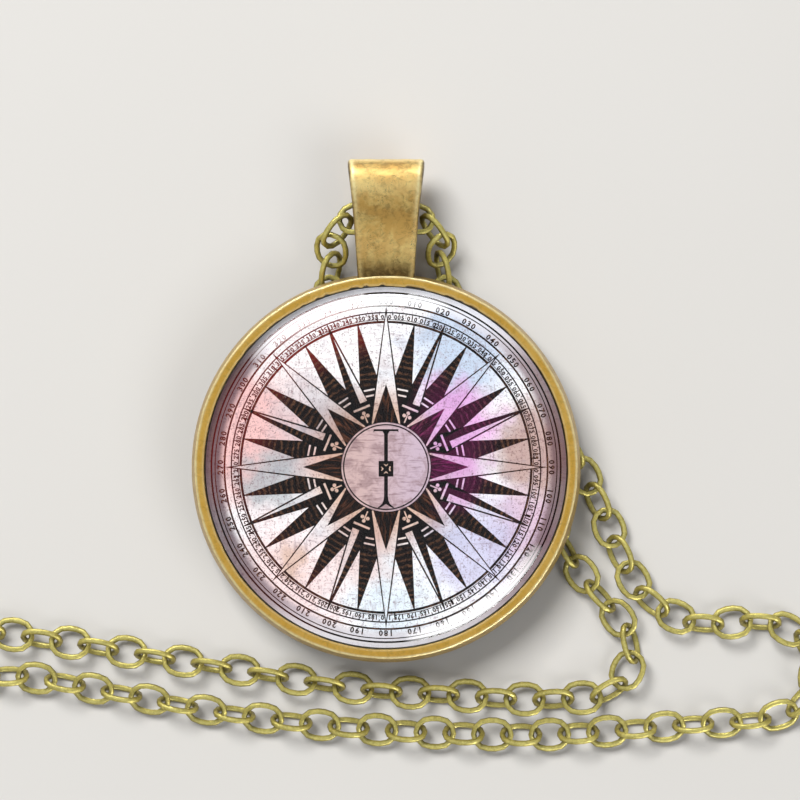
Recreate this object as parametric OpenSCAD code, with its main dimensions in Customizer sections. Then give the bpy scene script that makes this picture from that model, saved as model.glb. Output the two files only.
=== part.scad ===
// Compass pendant: a round bezel tray with a folded strap bail, a printed disc under a glass
// dome, and a whole cable chain. It lies on its back on its own chain. X runs to the right and
// Y towards the bail. The floor is at Z = 0.

/* [Glass] */
// Diameter of the glass dome
glass_d = 25; // [20:0.5:32]
// Height of the upright edge under the dome
glass_edge_h = 1.2; // [0.8:0.1:2.5]
// Rise of the dome above its upright edge
dome_h = 4.6; // [2.5:0.1:7]

/* [Printed disc] */
// Margin from the glass's edge in to the printed disc's edge
print_margin = 0.15; // [0.05:0.05:2]
// Thickness of the printed disc
print_t = 0.2; // [0.1:0.05:0.5]

/* [Tray] */
// Thickness of the tray's floor
floor_t = 0.8; // [0.5:0.1:1.5]
// Width of the rolled lip, seen from the front
lip_w = 0.67; // [0.55:0.01:1.2]
// Rise of the lip above the edge of the glass
lip_rise = 0.4; // [0.2:0.05:1]
// How far the side wall flares out from the lip to the back
wall_flare = 0.33; // [0.1:0.01:0.8]

/* [Bail] */
// Height of the bail above the tray's back edge
bail_rise = 7.9; // [7:0.1:12]
// Width of the bail at its fold
bail_top_w = 5.35; // [4:0.05:7]
// Width of the bail at the tray
bail_foot_w = 3.95; // [3:0.05:5]
// Depth of the bail at its fold, front to back
bail_depth = 5; // [4.6:0.1:7]
// Depth of the bail at the tray
bail_foot_depth = 2.3; // [1.6:0.1:2.4]
// Thickness of the bail's strap
bail_wall = 0.7; // [0.5:0.05:0.8]

/* [Chain] */
// Length of a link over its wire
link_len = 3.08; // [2.9:0.01:3.3]
// Width of a link over its wire
link_wid = 2.55; // [2.3:0.01:2.7]
// Diameter of the wire
wire_d = 0.43; // [0.35:0.01:0.5]
// Free play between two interlocked links
link_play = 0.17; // [0.12:0.01:0.3]
// Least lean of the flatter links off the floor, in degrees
link_lean = 18; // [10:1:40]
// How much further a link may lean, in degrees
lean_drift = 14; // [0:1:20]

/* [Clasp and rings] */
// Outer diameter of the ring that the chain's end holds
chain_ring_d = 4; // [3.8:0.1:6]
// Outer diameter of the ring that the clasp hooks on to
hook_ring_d = 4.2; // [3.8:0.1:6]
// Diameter of the rings' wire
ring_wire = 0.7; // [0.5:0.05:0.9]
// Length of the clasp over its eye
clasp_len = 12; // [10:0.5:16]
// Width of the clasp
clasp_wid = 5.6; // [5:0.1:8]
// Thickness of the clasp
clasp_t = 1.3; // [0.8:0.1:1.6]
// Width of the clasp's bars
clasp_bar = 0.9; // [0.7:0.05:1.3]
// Outer diameter of the clasp's eye
clasp_eye_d = 3; // [2.8:0.1:4]

/* [Hidden] */
$fn = 48;

// Clearances
seat_gap = 0.05;
glass_gap = 0.1;
wire_gap = 0.12;
ring_gap = 0.2;
clasp_gap = 0.55;
lay_gap = 0.1;

// Colours
bronze = [0.72, 0.56, 0.26];
olive_brass = [0.62, 0.57, 0.27];
paper = [0.82, 0.74, 0.78];
clear_glass = [0.85, 0.92, 0.95, 0.5];

// Rounded and bevelled edges of the tray
lip_round = 0.3;
lip_inner_round = 0.12;
back_bevel = 0.15;

// The tray's sizes, from its back
glass_r = glass_d / 2;
print_r = glass_r - print_margin;
recess_r = glass_r + glass_gap;
rim_r = recess_r + lip_w;
back_r = rim_r + wall_flare;
disc_z = floor_t + seat_gap;
glass_z = disc_z + print_t + seat_gap;
tray_h = glass_z + glass_edge_h + lip_rise;
dome_r = (glass_r * glass_r + dome_h * dome_h) / (2 * dome_h);

// The bail's side profile: a circle at the fold and two straight runs that narrow to the foot.
// Its opening ends a little above the tray.
bail_hole_rise = 1.3;
bail_r = bail_depth / 2;
bail_top_y = back_r + bail_rise;
bail_fold_y = bail_top_y - bail_r;
bail_foot_y = recess_r + lip_w / 2;
bail_run = bail_fold_y - bail_foot_y;
bail_taper = asin(bail_r / norm([bail_run, bail_foot_depth / 2])) - atan2(bail_foot_depth / 2, bail_run);
bail_hole_r = bail_r - bail_wall;
bail_hole_foot_y = back_r + bail_hole_rise;
bail_hole_foot_r = bail_hole_r - (bail_fold_y - bail_hole_foot_y) * sin(bail_taper);

// The chain's pitch, and the height of its links' middle line when it lies on the floor
link_r = (link_wid - wire_d) / 2;
pitch = link_len - 2 * wire_d - link_play;
link_reach = (link_len - wire_d - pitch) / 2;
lie_z = link_r * cos(link_lean) + wire_d / 2;

// The pendant's back lies on the chain, and the chain lies on the strap inside the bail, where the
// lower bar of a leaning link reaches nearest to the tray
bail_chain_drop = 1.5;
back_z = 2 * lie_z + lay_gap;
bail_z = back_z + tray_h / 2;
bail_chain_y = bail_fold_y - bail_chain_drop;
bail_low_y = bail_chain_y - link_r * sin(link_lean + lean_drift) - wire_d / 2;
bail_hole_half = bail_hole_r / cos(bail_taper) - tan(bail_taper) * (bail_fold_y - bail_low_y);
bail_chain_lift = bail_z - bail_hole_half + lay_gap;
bail_side_lift = bail_chain_lift - 0.2;

// Places along the clasp, from the joint where the chain's first end stops. The rings lean until
// they touch the floor under the clasp's middle plane.
clasp_z = 1.85;
nose_share = 0.85;
chain_ring_r = (chain_ring_d - ring_wire) / 2;
hook_ring_r = (hook_ring_d - ring_wire) / 2;
eye_wire = ring_wire;
eye_r = (clasp_eye_d - eye_wire) / 2;
ring_hold = (wire_d + ring_wire) / 2 + ring_gap;
chain_ring_at = link_reach - ring_hold + chain_ring_r;
eye_tip_at = chain_ring_at + chain_ring_r - ring_wire / 2 - eye_wire - wire_gap;
nose_at = eye_tip_at + clasp_len;
hook_ring_at = nose_at - clasp_bar - ring_wire / 2 - clasp_gap + hook_ring_r;
clasp_span = hook_ring_at + hook_ring_r - ring_hold + link_reach;

// The chain's route, seen from above, with its lift off the lying height. It starts at the clasp's
// lower end, runs along the lower strand, turns back at the right, passes under the tray and through
// the bail, comes back under the tray, and goes round by the upper strand to the clasp's upper end.
clasp_x = -115;
clasp_y = -22;
end_lift = clasp_z - lie_z;
route = [
    [clasp_x, clasp_y, end_lift], [-112.5, -33, 0], [-104.5, -45, 0], [-91.7, -53.6, 0], [-76, -55.2, 0],
    [-61, -49, 0], [-50.5, -39.5, 0], [-43.5, -29, 0], [-38.5, -20.8, 0], [-33, -16, 0], [-27, -14.6, 0],
    [-20, -15.6, 0], [-12, -17.1, 0], [-4, -18.1, 0], [4, -18.6, 0], [12, -18.7, 0], [19, -18.2, 0],
    [23, -17.9, 0], [26.2, -17.7, 0], [28.9, -16.8, 0], [30.2, -14.2, 0], [28.9, -11.6, 0],
    [26.2, -10.7, 0], [23.2, -11, 0], [20.5, -10.6, 0], [18.2, -9.1, 0], [16.6, -6.5, 0],
    [15.4, -3.5, 0], [13.9, -0.4, 0], [12, 2.6, 0], [9.6, 5.2, 0], [6.9, 7.8, 0],
    [4.9, bail_chain_y - 7.1, 0], [4.15, bail_chain_y - 4.6, 0], [3.85, bail_chain_y - 2.6, 0.85],
    [3.7, bail_chain_y - 1.2, 2.25], [2.5, bail_chain_y, bail_side_lift],
    [0, bail_chain_y, bail_chain_lift],
    [-2.5, bail_chain_y, bail_side_lift], [-3.75, bail_chain_y - 1.2, 2.25],
    [-3.8, bail_chain_y - 2.6, 1.1], [-4, bail_chain_y - 4.6, 0], [-4, bail_chain_y - 6.9, 0],
    [-3.3, 8.1, 0], [-1.6, 5.3, 0], [1.5, 3.2, 0], [5.6, 2, 0], [9, -0.3, 0], [11.3, -3.2, 0],
    [12.8, -6, 0], [14.4, -8.4, 0], [16, -10.1, 0], [17.2, -12, 0], [17.2, -14.2, 0],
    [15.6, -15.8, 0], [12.2, -16.2, 0], [4, -15.9, 0], [-2, -15.5, 0], [-9, -14.4, 0],
    [-16, -13.3, 0], [-22, -12.3, 0],
    [-27, -11.6, 0], [-33, -10.4, 0], [-38.5, -6.5, 0], [-43.5, 1.5, 0], [-50.5, 11, 0], [-61, 20.5, 0],
    [-75, 26.2, 0], [-90.7, 24.2, 0], [-103.5, 15, 0], [-112, 3.5, 0],
    [clasp_x, clasp_y + clasp_span, end_lift]
];
bail_at = 37;
last = len(route) - 1;
span_steps = 16;

// A smooth curve through the route's points, as a fine line
function unit(v) = v / norm(v);
function on_floor(p) = [p[0], p[1], max(0, p[2]) + lie_z];
function heading(i) =
    i == 0 || i == last ? [0, -1, 0] :
    let (a = route[i] - route[i - 1], b = route[i + 1] - route[i])
    (unit(a) * norm(b) + unit(b) * norm(a)) / (norm(a) + norm(b));
function on_span(i, t) =
    let (a = route[i], b = route[i + 1], d = norm(b - a))
    a * (1 - 3 * t * t + 2 * t * t * t) + heading(i) * d * (t - 2 * t * t + t * t * t)
    + b * (3 * t * t - 2 * t * t * t) + heading(i + 1) * d * (t * t * t - t * t);
function run_between(from, to) = [
    for (i = [from:to - 1])
        for (k = [0:span_steps - 1])
            on_floor(on_span(i, k / span_steps)),
    on_floor(route[to])
];
function backwards(line) = [for (i = [len(line) - 1:-1:0]) line[i]];

// The next point along a line at a straight distance from another point
function crossing(a, b, c, d) =
    let (u = b - a, w = a - c, p = u * u, q = u * w, r = w * w - d * d)
    a + u * (sqrt(max(0, q * q - p * r)) - q) / p;
function hop(line, k, from, d) =
    k + 1 >= len(line) ? undef :
    norm(line[k + 1] - from) < d ? hop(line, k + 1, from, d) :
    [crossing(line[k], line[k + 1], from, d), k];
function hops(line, d) = [
    for (
        n = 0, h = hop(line, 0, line[0], d * share_at(0));
        !is_undef(h);
        n = n + 1, h = hop(line, h[1], h[0], d * share_at(n))
    ) h[0]
];

// Beside the bail a few joints lie closer together, so that the links hang slack there and the
// chain can turn down steeply
slack = 0.83;
slack_from = 2;
slack_to = 4;
slack_loss = (slack_to - slack_from + 1) * (1 - slack);
function share_at(n) = n == 0 ? 0.5 : n >= slack_from && n <= slack_to ? slack : 1;

// The joints between links from the bail to one end. Their number is even, so that the last link
// lies the same way on both sides, and the pitch gives up a little play to end at the clasp.
function joints_along(line) =
    let (plain = hops(line, pitch))
    let (count = 2 * ceil((len(plain) + 1) / 2))
    let (far = line[len(line) - 1])
    let (reach = (len(plain) - 0.5 - slack_loss) * pitch + norm(far - plain[len(plain) - 1]))
    let (onward = far + unit(far - line[len(line) - 2]))
    let (fitted = hops(concat(line, [onward]), reach / (count - 0.5 - slack_loss)))
    [for (i = [0:count - 1]) i == count - 1 ? far : fitted[i]];

lower_joints = joints_along(backwards(run_between(0, bail_at)));
upper_joints = joints_along(run_between(bail_at, last));
joints = concat(backwards(lower_joints), upper_joints);
bail_link = len(lower_joints) - 1;

// The object's origin is under the middle of its outline, which the clasp bounds on the left
left_x = min([clasp_x - clasp_wid / 2, for (j = joints) j[0] - link_r]);
right_x = max([for (j = joints) j[0] + link_r]);
middle_x = (left_x + right_x) / 2;
middle_y = (min([for (j = joints) j[1]]) + max([for (j = joints) j[1]])) / 2;
module on_origin() {
    translate([-middle_x, -middle_y, 0]) children();
}

// The tray's section: floor, flared wall and rolled lip
module tray_section() {
    polygon([
        [0, 0], [back_r - back_bevel, 0], [back_r, back_bevel], [rim_r, tray_h - lip_round],
        [rim_r - lip_round, tray_h], [recess_r + lip_inner_round, tray_h],
        [recess_r, tray_h - lip_inner_round], [recess_r, floor_t], [0, floor_t]
    ]);
    translate([rim_r - lip_round, tray_h - lip_round]) circle(r = lip_round);
    translate([recess_r + lip_inner_round, tray_h - lip_inner_round]) circle(r = lip_inner_round);
}

// A circle at the fold with two straight runs down to a foot line
module strap_outside() {
    foot = bail_r / cos(bail_taper) - tan(bail_taper) * bail_run;
    translate([bail_fold_y, 0]) circle(r = bail_r);
    polygon([
        [bail_foot_y, -foot], [bail_fold_y - bail_r * sin(bail_taper), -bail_r * cos(bail_taper)],
        [bail_fold_y - bail_r * sin(bail_taper), bail_r * cos(bail_taper)], [bail_foot_y, foot]
    ]);
}

// Two circles and the runs that touch both
module strap_hole() {
    s = sin(bail_taper);
    c = cos(bail_taper);
    translate([bail_fold_y, 0]) circle(r = bail_hole_r);
    translate([bail_hole_foot_y, 0]) circle(r = bail_hole_foot_r);
    polygon([
        [bail_hole_foot_y - bail_hole_foot_r * s, -bail_hole_foot_r * c],
        [bail_fold_y - bail_hole_r * s, -bail_hole_r * c],
        [bail_fold_y - bail_hole_r * s, bail_hole_r * c],
        [bail_hole_foot_y - bail_hole_foot_r * s, bail_hole_foot_r * c]
    ]);
}

// The folded strap, narrower at the tray than at the fold
module bail() {
    intersection() {
        rotate([90, 0, 90])
            linear_extrude(height = bail_top_w + 2, center = true)
                difference() {
                    strap_outside();
                    strap_hole();
                }
        translate([0, 0, -bail_depth])
            linear_extrude(height = 2 * bail_depth)
                polygon([
                    [-bail_foot_w / 2, bail_foot_y], [bail_foot_w / 2, bail_foot_y],
                    [bail_top_w / 2, bail_top_y], [-bail_top_w / 2, bail_top_y]
                ]);
    }
}

module setting() {
    color(bronze)
        on_origin()
            union() {
                translate([0, 0, back_z]) rotate_extrude($fn = 96) tray_section();
                translate([0, 0, bail_z]) bail();
            }
}

module picture_disc() {
    color(paper)
        on_origin()
            translate([0, 0, back_z + disc_z])
                cylinder(r = print_r, h = print_t, $fn = 96);
}

module glass_cabochon() {
    color(clear_glass)
        on_origin()
            translate([0, 0, back_z + glass_z])
                rotate_extrude($fn = 96) {
                    square([glass_r, glass_edge_h]);
                    intersection() {
                        translate([0, glass_edge_h + dome_h - dome_r]) circle(r = dome_r, $fn = 180);
                        square([glass_r, glass_edge_h + dome_h]);
                    }
                }
}

// A ring of round wire in the XY plane
module wire_ring(middle_r, wire) {
    rotate_extrude() translate([middle_r, 0]) circle(d = wire, $fn = 24);
}

// An oval link along X: two half rings joined by straight sides
module link() {
    side = link_len - link_wid;
    for (turn = [0, 180])
        rotate([0, 0, turn]) {
            translate([side / 2, 0, 0])
                rotate_extrude(angle = 180, start = -90)
                    translate([link_r, 0]) circle(d = wire_d, $fn = 24);
            translate([-side / 2, link_r, 0])
                rotate([0, 90, 0]) cylinder(d = wire_d, h = side, $fn = 24);
        }
}

// Every second link stands on edge, and each has a lean of its own
lean_turn = 163;
lean_start = 150;
function lean_of(i) =
    link_lean + lean_drift * (1 + sin(lean_turn * i + lean_start)) / 2 + 90 * ((i + bail_link + 1) % 2);

// A link from one joint to the next, with its lean about the chain's own direction
module link_between(a, b, lean) {
    along = unit(b - a);
    translate((a + b) / 2)
        rotate([0, -asin(along[2]), atan2(along[1], along[0])])
            rotate([lean, 0, 0])
                link();
}

module chain() {
    color(olive_brass)
        on_origin()
            for (i = [0:len(joints) - 2])
                link_between(joints[i], joints[i + 1], lean_of(i));
}

// Rings and clasp lie in a row from the chain's lower end to its upper end
module on_clasp_row(at) {
    translate([clasp_x, clasp_y + at, clasp_z]) rotate([0, 0, 90]) children();
}

module chain_ring() {
    color(olive_brass)
        on_origin()
            on_clasp_row(chain_ring_at)
                rotate([asin((clasp_z - ring_wire / 2) / chain_ring_r), 0, 0])
                    wire_ring(chain_ring_r, ring_wire);
}

module hook_ring() {
    color(olive_brass)
        on_origin()
            on_clasp_row(hook_ring_at)
                rotate([asin((clasp_z - ring_wire / 2) / hook_ring_r), 0, 0])
                    wire_ring(hook_ring_r, ring_wire);
}

// The clasp's outline: a wide end and a nose with the runs that touch both
module clasp_outline(wide_r, nose_r, wide_x, nose_x) {
    s = (wide_r - nose_r) / (nose_x - wide_x);
    c = sqrt(1 - s * s);
    translate([wide_x, 0]) circle(r = wide_r);
    translate([nose_x, 0]) circle(r = nose_r);
    polygon([
        [wide_x + wide_r * s, -wide_r * c], [nose_x + nose_r * s, -nose_r * c],
        [nose_x + nose_r * s, nose_r * c], [wide_x + wide_r * s, wide_r * c]
    ]);
}

module clasp() {
    wide_r = clasp_wid / 2;
    nose_r = nose_share * wide_r;
    wide_x = clasp_eye_d - eye_wire / 2 + wide_r;
    nose_x = clasp_len - nose_r;
    color(olive_brass)
        on_origin()
            on_clasp_row(eye_tip_at) {
                translate([clasp_eye_d / 2, 0, 0]) wire_ring(eye_r, eye_wire);
                translate([0, 0, -clasp_t / 2])
                    linear_extrude(height = clasp_t)
                        difference() {
                            clasp_outline(wide_r, nose_r, wide_x, nose_x);
                            clasp_outline(
                                wide_r - clasp_bar, nose_r - clasp_bar, wide_x + clasp_bar, nose_x
                            );
                        }
            }
}

setting();
picture_disc();
glass_cabochon();
chain();
chain_ring();
hook_ring();
clasp();
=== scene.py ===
"""Looks of the compass pendant: aged bronze tray and bail, a tinted print of a compass rose under a
glass dome, and a brass cable chain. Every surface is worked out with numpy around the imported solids, in
millimetres, and its mesh is made in metres. Sizes that the solids don't give are named below."""
import math

import bpy
import numpy as np
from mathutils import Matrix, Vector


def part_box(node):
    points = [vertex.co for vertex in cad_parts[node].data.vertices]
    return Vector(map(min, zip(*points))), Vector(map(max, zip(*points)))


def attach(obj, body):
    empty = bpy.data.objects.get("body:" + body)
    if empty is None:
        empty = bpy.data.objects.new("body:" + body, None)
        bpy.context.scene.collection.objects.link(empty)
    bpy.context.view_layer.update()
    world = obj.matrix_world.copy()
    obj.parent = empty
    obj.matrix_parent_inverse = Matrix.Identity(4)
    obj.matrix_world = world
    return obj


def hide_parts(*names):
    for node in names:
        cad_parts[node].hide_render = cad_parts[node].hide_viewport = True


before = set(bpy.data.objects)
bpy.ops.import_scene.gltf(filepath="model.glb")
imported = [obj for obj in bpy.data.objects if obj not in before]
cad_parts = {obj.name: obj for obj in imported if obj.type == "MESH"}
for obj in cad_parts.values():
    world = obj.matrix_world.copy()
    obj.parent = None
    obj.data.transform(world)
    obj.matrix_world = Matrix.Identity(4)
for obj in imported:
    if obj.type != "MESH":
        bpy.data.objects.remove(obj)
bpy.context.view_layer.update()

MM = 0.001

# Places that the solids give, in millimetres
setting_low, setting_high = (np.array(corner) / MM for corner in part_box("setting"))
glass_low, glass_high = (np.array(corner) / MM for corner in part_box("glass_cabochon"))
disc_low, disc_high = (np.array(corner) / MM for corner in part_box("picture_disc"))
chain_ring_low, chain_ring_high = (np.array(corner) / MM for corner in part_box("chain_ring"))
hook_ring_low, hook_ring_high = (np.array(corner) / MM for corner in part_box("hook_ring"))
clasp_low, clasp_high = (np.array(corner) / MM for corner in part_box("clasp"))

# The pendant's middle line, which every piece of it is placed from
CENTRE_X, CENTRE_Y = (glass_low[:2] + glass_high[:2]) / 2
CENTRE = np.array([CENTRE_X, CENTRE_Y, 0])

# Glass
GLASS_R = (glass_high[0] - glass_low[0]) / 2
GLASS_H = glass_high[2] - glass_low[2]
GLASS_EDGE_H = 1.2
DOME_H = GLASS_H - GLASS_EDGE_H
DOME_R = (GLASS_R ** 2 + DOME_H ** 2) / (2 * DOME_H)
GLASS_IOR = 1.5

# Tray
FLOOR_T = 0.8
SEAT_GAP = 0.05
GLASS_GAP = 0.1
LIP_W = 0.67
LIP_RISE = 0.4
LIP_ROUND = 0.2
LIP_INNER_ROUND = 0.12
BACK_BEVEL = 0.15
BACK_Z = disc_low[2] - FLOOR_T - SEAT_GAP
TRAY_H = glass_low[2] + GLASS_EDGE_H + LIP_RISE - BACK_Z
BACK_R = (setting_high[0] - setting_low[0]) / 2
RECESS_R = GLASS_R + GLASS_GAP
RIM_R = RECESS_R + LIP_W

# Bail
BAIL_TOP_Y = setting_high[1] - CENTRE_Y
BAIL_R = (setting_high[2] - setting_low[2]) / 2
BAIL_Z = (setting_high[2] + setting_low[2]) / 2
BAIL_TOP_W = 5.35
BAIL_FOOT_W = 3.95
BAIL_FOOT_DEPTH = 2.3
BAIL_WALL = 0.7
BAIL_HOLE_RISE = 1.3
BAIL_WAIST = 0.05
BAIL_EDGE_ROUND = 0.26
BAIL_INNER_ROUND = 0.12
BAIL_RUN_STEPS = 36
BAIL_FOLD_STEPS = 48
BAIL_FOOT_STEPS = 12

# Chain, its rings and its clasp
LINK_LEN = 3.08
LINK_WID = 2.55
WIRE_D = 0.43
LINK_PLAY = 0.17
LINK_LEAN = 18
LEAN_DRIFT = 14
LEAN_TURN = 163
LEAN_START = 150
SLACK = 0.83
SLACK_FROM = 2
SLACK_TO = 4
LINK_END_STEPS = 6
WIRE_SIDES = 5
SPAN_STEPS = 16
RING_WIRE = 0.7
CLASP_BAR = 0.9
CLASP_EYE_D = 3
CLASP_ROUND = 0.35
CLASP_INNER_ROUND = 0.25
NOSE_SHARE = 0.85

# The print as it is seen through the dome: radii, half widths of the points, and the dial's lines with
# their widths. INK_T is how thick a layer of ink is
HUB_R = 3.11
HUB_LINE_R = 2.93
KITE_R = 11.2
KITE_HALF = 1.1
SPIKE_R = 5.75
SPLIT_R = 10.6
SPLIT_ROOT_R = 4.65
SPLIT_HALF = 0.66
DART_R = 10.15
DART_ROOT_R = 5.85
DART_HALF = 0.68
DARK_FIELD_R = 4.15
OUTLINE = 0.12
DIAL_LINES = [(10.07, 0.17), (10.23, 0.05), (10.72, 0.09), (11.2, 0.13), (11.86, 0.07), (12.12, 0.12)]
TICK_R = 10.62
LONG_TICK_R = 10.33
FIVES_R = 10.4
TENS_R = 11.47
MARGIN_R = (11.1, 11.7)
INK_T = 0.006

# Half the floor's side
FLOOR_HALF = 3000

# The photograph's frame
PHOTO_SIDE = 800
PHOTO_SCALE = 14.45
PENDANT_PIXEL = (386, 467)
CAMERA_ELEVATION = 88
LENS = 150
SENSOR = 36


def rgb(red, green, blue):
    """A screen colour from 0 to 255 as the linear colour that a shader takes."""
    share = np.array([red, green, blue]) / 255
    linear = np.where(share <= 0.04045, share / 12.92, ((share + 0.055) / 1.055) ** 2.4)
    return (*linear.tolist(), 1.0)


# Surfaces


def line(start, end, count):
    """Evenly spaced points from the start up to the end, without the end itself."""
    share = np.arange(count)[:, None] / count
    return np.asarray(start) + share * (np.asarray(end) - np.asarray(start))


def arc(centre, radius, start, end, count):
    """Points on a circle: its centre plus the radius turned evenly from one angle to another."""
    angle = np.radians(np.linspace(start, end, count))
    return np.asarray(centre) + radius * np.column_stack([np.cos(angle), np.sin(angle)])


def round_angles(count):
    """Even angles once round a circle, in radians."""
    return np.arange(count) * 2 * math.pi / count


def bell(value, middle, width):
    """A soft band: e to the power of minus the square of the distance from its middle in widths."""
    return np.exp(-((value - middle) / width) ** 2)


def unit(vectors):
    """Vectors made one long."""
    return vectors / np.linalg.norm(vectors, axis=-1, keepdims=True)


def grid_quads(rows, columns, closed_rows, closed_columns):
    """The quads between neighbouring points of a grid, joined end to end where it is closed."""
    row = np.arange(rows if closed_rows else rows - 1)[:, None]
    column = np.arange(columns if closed_columns else columns - 1)[None, :]
    here, below = row * columns, (row + 1) % rows * columns
    beside = (column + 1) % columns
    corners = [here + column, here + beside, below + beside, below + column]
    return np.stack(np.broadcast_arrays(*corners), -1).reshape(-1, 4)


def outward(points, faces):
    """The faces turned, where needed, so that the volume that they close counts as positive."""
    from_mean = points - points.mean(0)
    volume = 0
    for corners in faces:
        for k in range(2, corners.shape[1]):
            a, b, c = (from_mean[corners[:, n]] for n in (0, k - 1, k))
            volume += np.einsum("ij,ij->", a, np.cross(b, c))
    return faces if volume > 0 else [corners[:, ::-1] for corners in faces]


def new_object(name, data):
    """An object in the scene with this mesh, type, light or camera."""
    made = bpy.data.objects.new(name, data)
    bpy.context.scene.collection.objects.link(made)
    return made


def new_mesh_object(name, points, faces, material, marks=None):
    """A smooth mesh object from points in millimetres, face arrays, and a mark from 0 to 1 per point."""
    mesh = bpy.data.meshes.new(name)
    mesh.from_pydata(points * MM, [], [corners for part in faces for corners in part.tolist()])
    mesh.shade_smooth()
    for label, values in (marks or {}).items():
        mark = mesh.attributes.new(label, "FLOAT", "POINT")
        mark.data.foreach_set("value", np.asarray(values, np.float32).ravel())
    mesh.materials.append(material)
    return new_object(name, mesh)


def new_piece(name, points, faces, material, nodes=(), marks=None):
    """A piece that rides on the part, in place of the solids that it names."""
    piece = new_mesh_object(name, points, faces, material, marks)
    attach(piece, "root")
    if nodes:
        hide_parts(*nodes)
    return piece


def turned(profile, turns, bend=None):
    """Surface of revolution: each profile point's radius carried round a full circle at its height. The
    first and last points lie on the axis and are single poles. bend may move the rings' points."""
    angle = round_angles(turns)
    radius, height = profile[1:-1, 0, None], profile[1:-1, 1, None]
    if bend:
        radius, height = bend(radius, height, angle)
    height = np.broadcast_to(height, (len(profile) - 2, turns))
    rings = np.stack([radius * np.cos(angle), radius * np.sin(angle), height], -1)
    points = np.concatenate([[[0, 0, profile[0, 1]]], rings.reshape(-1, 3), [[0, 0, profile[-1, 1]]]])
    quads = grid_quads(len(profile) - 2, turns, False, True) + 1
    first, after = np.arange(turns), (np.arange(turns) + 1) % turns
    last_ring = 1 + (len(profile) - 3) * turns
    low_fan = np.column_stack([after + 1, first + 1, np.zeros(turns, int)])
    high_fan = np.column_stack([last_ring + first, last_ring + after, np.full(turns, len(points) - 1)])
    return points, outward(points, [quads, low_fan, high_fan])


def carried_round(radius, height, turns):
    """A closed section, given by its points' radii and heights, carried round a full circle."""
    angle = round_angles(turns)[:, None]
    rings = np.stack([radius * np.cos(angle), radius * np.sin(angle), height + 0 * angle], -1)
    points = rings.reshape(-1, 3)
    return points, outward(points, [grid_quads(turns, len(radius), True, True)])


def ring_of_wire(middle_r, wire_r, turns, sides):
    """A round wire bent into a ring: a small circle carried round a larger one."""
    side = round_angles(sides)
    return carried_round(middle_r + wire_r * np.cos(side), wire_r * np.sin(side), turns)


def belt(big, big_r, small, small_r, counts):
    """A loop round two circles in line, the big one further along: a run that touches both on the lower
    side, the end round the big circle, the run back, and the end round the small circle."""
    turn = math.asin((big_r - small_r) / (big - small))
    side = np.array([-math.sin(turn), math.cos(turn)])
    lower = side * (1, -1)
    turn = math.degrees(turn)
    big, small = np.array([big, 0]), np.array([small, 0])
    return np.concatenate([
        line(small + small_r * lower, big + big_r * lower, counts[0]),
        arc(big, big_r, -90 - turn, 90 + turn, counts[1] + 1)[:-1],
        line(big + big_r * side, small + small_r * side, counts[0]),
        arc(small, small_r, 90 + turn, 270 - turn, counts[2] + 1)[:-1],
    ])


def section_round(outer_round, inner_round, flat_steps, side_steps, corner_steps):
    """The cross-section of a strap with rounded edges, as four rows of figures: a share of the strap's
    half width and what the rounding adds to it, then a share of its thickness and what is added there."""
    turn = np.radians(np.linspace(0, 90, corner_steps))
    flat = np.linspace(-1, 1, flat_steps + 1)[1:-1]
    side = np.linspace(0, 1, side_steps + 1)[1:-1]

    def rows(across, across_add, depth, depth_add):
        return np.array(np.broadcast_arrays(across, across_add, depth, depth_add))

    def other_side(part):
        return (part * np.array([-1, -1, 1, 1])[:, None])[:, ::-1]

    outer_corner = rows(1, outer_round * (np.sin(turn) - 1), 0, outer_round * (1 - np.cos(turn)))
    inner_corner = rows(1, inner_round * (np.sin(turn) - 1), 1, inner_round * (np.cos(turn) - 1))[:, ::-1]
    edge = rows(1, 0, side, outer_round * (1 - side) - inner_round * side)
    return np.hstack([
        other_side(outer_corner), rows(flat, -flat * outer_round, 0, 0), outer_corner, edge,
        inner_corner, rows(-flat, flat * inner_round, 1, 0), other_side(inner_corner), other_side(edge),
    ])


def strap(outer, inner, half_width, section):
    """A closed strap between an outer and an inner loop in one plane: at each step along the loops the
    section runs round it, a share of the half width across and a share of the thickness inwards."""
    width_share, width_add, depth_share, depth_add = section
    inwards = inner - outer
    thick = np.linalg.norm(inwards, axis=1)[:, None]
    depth = depth_share * thick + depth_add
    across = width_share * half_width[:, None] + width_add
    plane = outer[:, None, :] + (inwards / thick)[:, None, :] * depth[..., None]
    return across, plane, thick


# Node helpers


def fill(tree, sockets, values):
    """Sockets by name or number, each set to a value or linked."""
    for key, value in values.items():
        if isinstance(value, bpy.types.NodeSocket):
            tree.links.new(value, sockets[key])
        else:
            sockets[key].default_value = value


def add_node(tree, kind, settings=None, inputs=None):
    """A new node with its plain settings and its inputs filled."""
    node = tree.nodes.new(kind)
    for name, value in (settings or {}).items():
        setattr(node, name, value)
    fill(tree, node.inputs, inputs or {})
    return node


def mixed(tree, share, first, second, blend="MIX"):
    """The first colour turned into the second by a share."""
    settings = {"data_type": "RGBA", "blend_type": blend}
    return add_node(tree, "ShaderNodeMix", settings, {0: share, 6: first, 7: second}).outputs[2]


def figure(tree, operation, *values):
    """One step of arithmetic."""
    return add_node(tree, "ShaderNodeMath", {"operation": operation}, dict(enumerate(values))).outputs[0]


def times(tree, first, second):
    """The product of two values."""
    return figure(tree, "MULTIPLY", first, second)


def vector_figure(tree, operation, *values):
    """One step of arithmetic on vectors."""
    node = add_node(tree, "ShaderNodeVectorMath", {"operation": operation}, dict(enumerate(values)))
    return node.outputs["Value" if operation in ("LENGTH", "DISTANCE") else "Vector"]


def by_axis(tree, place):
    """A place's X, Y and Z."""
    return add_node(tree, "ShaderNodeSeparateXYZ", None, {0: place}).outputs


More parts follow.
